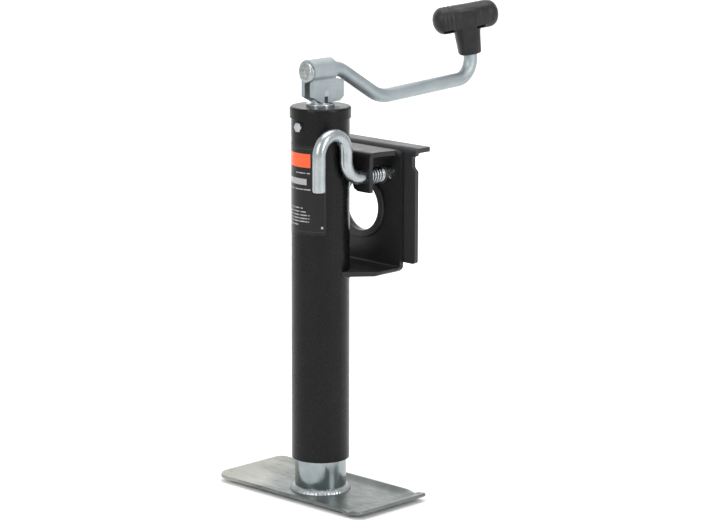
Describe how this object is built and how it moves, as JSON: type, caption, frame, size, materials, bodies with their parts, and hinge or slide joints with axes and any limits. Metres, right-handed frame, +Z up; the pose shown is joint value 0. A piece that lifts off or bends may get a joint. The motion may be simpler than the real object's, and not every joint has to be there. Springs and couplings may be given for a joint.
{
  "type": "trailer tongue jack",
  "caption": "Swivel trailer tongue jack with a top-wind crank, telescoping leg on a pressed foot, and a spring pull pin on its swivel bracket",
  "frame": {"origin": "centre of the foot's underside, on the tube's axis", "axes": "+Z up along the tube, +Y from the tube to the mount plate, +X along the mount plate and the foot"},
  "size_m": [0.201, 0.2892, 0.4729],
  "materials": {
    "tube_black": "satin powder coat",
    "bracket_black": "satin powder coat, greyer",
    "swivel_black": "satin powder coat, thicker",
    "cotter_steel": "dark, plain",
    "weld_black": "painted weld",
    "label": "gloss film",
    "plain_steel": "machined",
    "bearing_steel": "ground",
    "screw_steel": "rolled, greased",
    "zinc_bright": "bright zinc",
    "zinc_crank": "zinc plated",
    "zinc_pin": "zinc plated",
    "zinc_leg": "zinc plated",
    "zinc_foot": "zinc plated, dull",
    "weld_zinc": "zinc plated weld",
    "grip_plastic": "moulded"
  },
  "bodies": {
    "frame_bracket": {"mount_plate": "bracket_black", "swivel_hub": "bracket_black"},
    "casing": {"outer_tube": "tube_black", "top_cap": "tube_black", "bearing_block": "plain_steel", "retainer_screw": "zinc_bright", "race_fixed": "bearing_steel", "bearing_balls": "bearing_steel", "swivel_bracket": "swivel_black", "bracket_weld_upper": "weld_black", "bracket_weld_lower": "weld_black", "label_decal": "label"},
    "pin": {"pull_pin": "zinc_pin", "spring_washer": "cotter_steel", "cotter_pin": "cotter_steel", "pin_spring": "zinc_bright"},
    "screw": {"lead_screw": "screw_steel", "thrust_collar": "plain_steel", "collar_pin": "plain_steel", "race_turning": "bearing_steel", "end_stop": "plain_steel", "end_stop_pin": "plain_steel", "cap_washer": "zinc_bright", "crank_strap": "zinc_crank", "crank_pin": "zinc_bright", "crank_arm": "zinc_crank", "crank_weld": "weld_zinc", "grip_push_nut": "plain_steel"},
    "leg": {"inner_tube": "zinc_leg", "drive_nut": "plain_steel", "foot_plate": "zinc_foot", "foot_weld": "weld_zinc"},
    "grip": {"grip_knob": "grip_plastic"}
  },
  "joints": [
    {"name": "swivel", "type": "hinge", "parent": "frame_bracket", "child": "casing", "pos_m": [0, 0.0585, 0.282], "axis": [0, 1, 0], "range_deg": [-90, 90]},
    {"name": "pin_pull", "type": "slide", "parent": "casing", "child": "pin", "axis": [0, -1, 0], "range_m": [0, 0.0085], "stiffness_N_per_m": 1100, "springref_m": -0.02, "deforming": ["pin_spring"]},
    {"name": "crank_spin", "type": "hinge", "parent": "casing", "child": "screw", "pos_m": [0, 0, 0.39], "axis": [0, 0, 1], "range_deg": [0, 21600]},
    {"name": "leg_extend", "type": "slide", "parent": "casing", "child": "leg", "axis": [0, 0, -1], "range_m": [0, 0.2541]},
    {"name": "grip_spin", "type": "hinge", "parent": "screw", "child": "grip", "pos_m": [0, 0.20839, 0.4548], "axis": [0, -0.1908, 0.9816], "continuous": true}
  ],
  "couplings": [
    {"joint": "leg_extend", "follows": "crank_spin", "m_per_rad": 0.00067376}
  ]
}
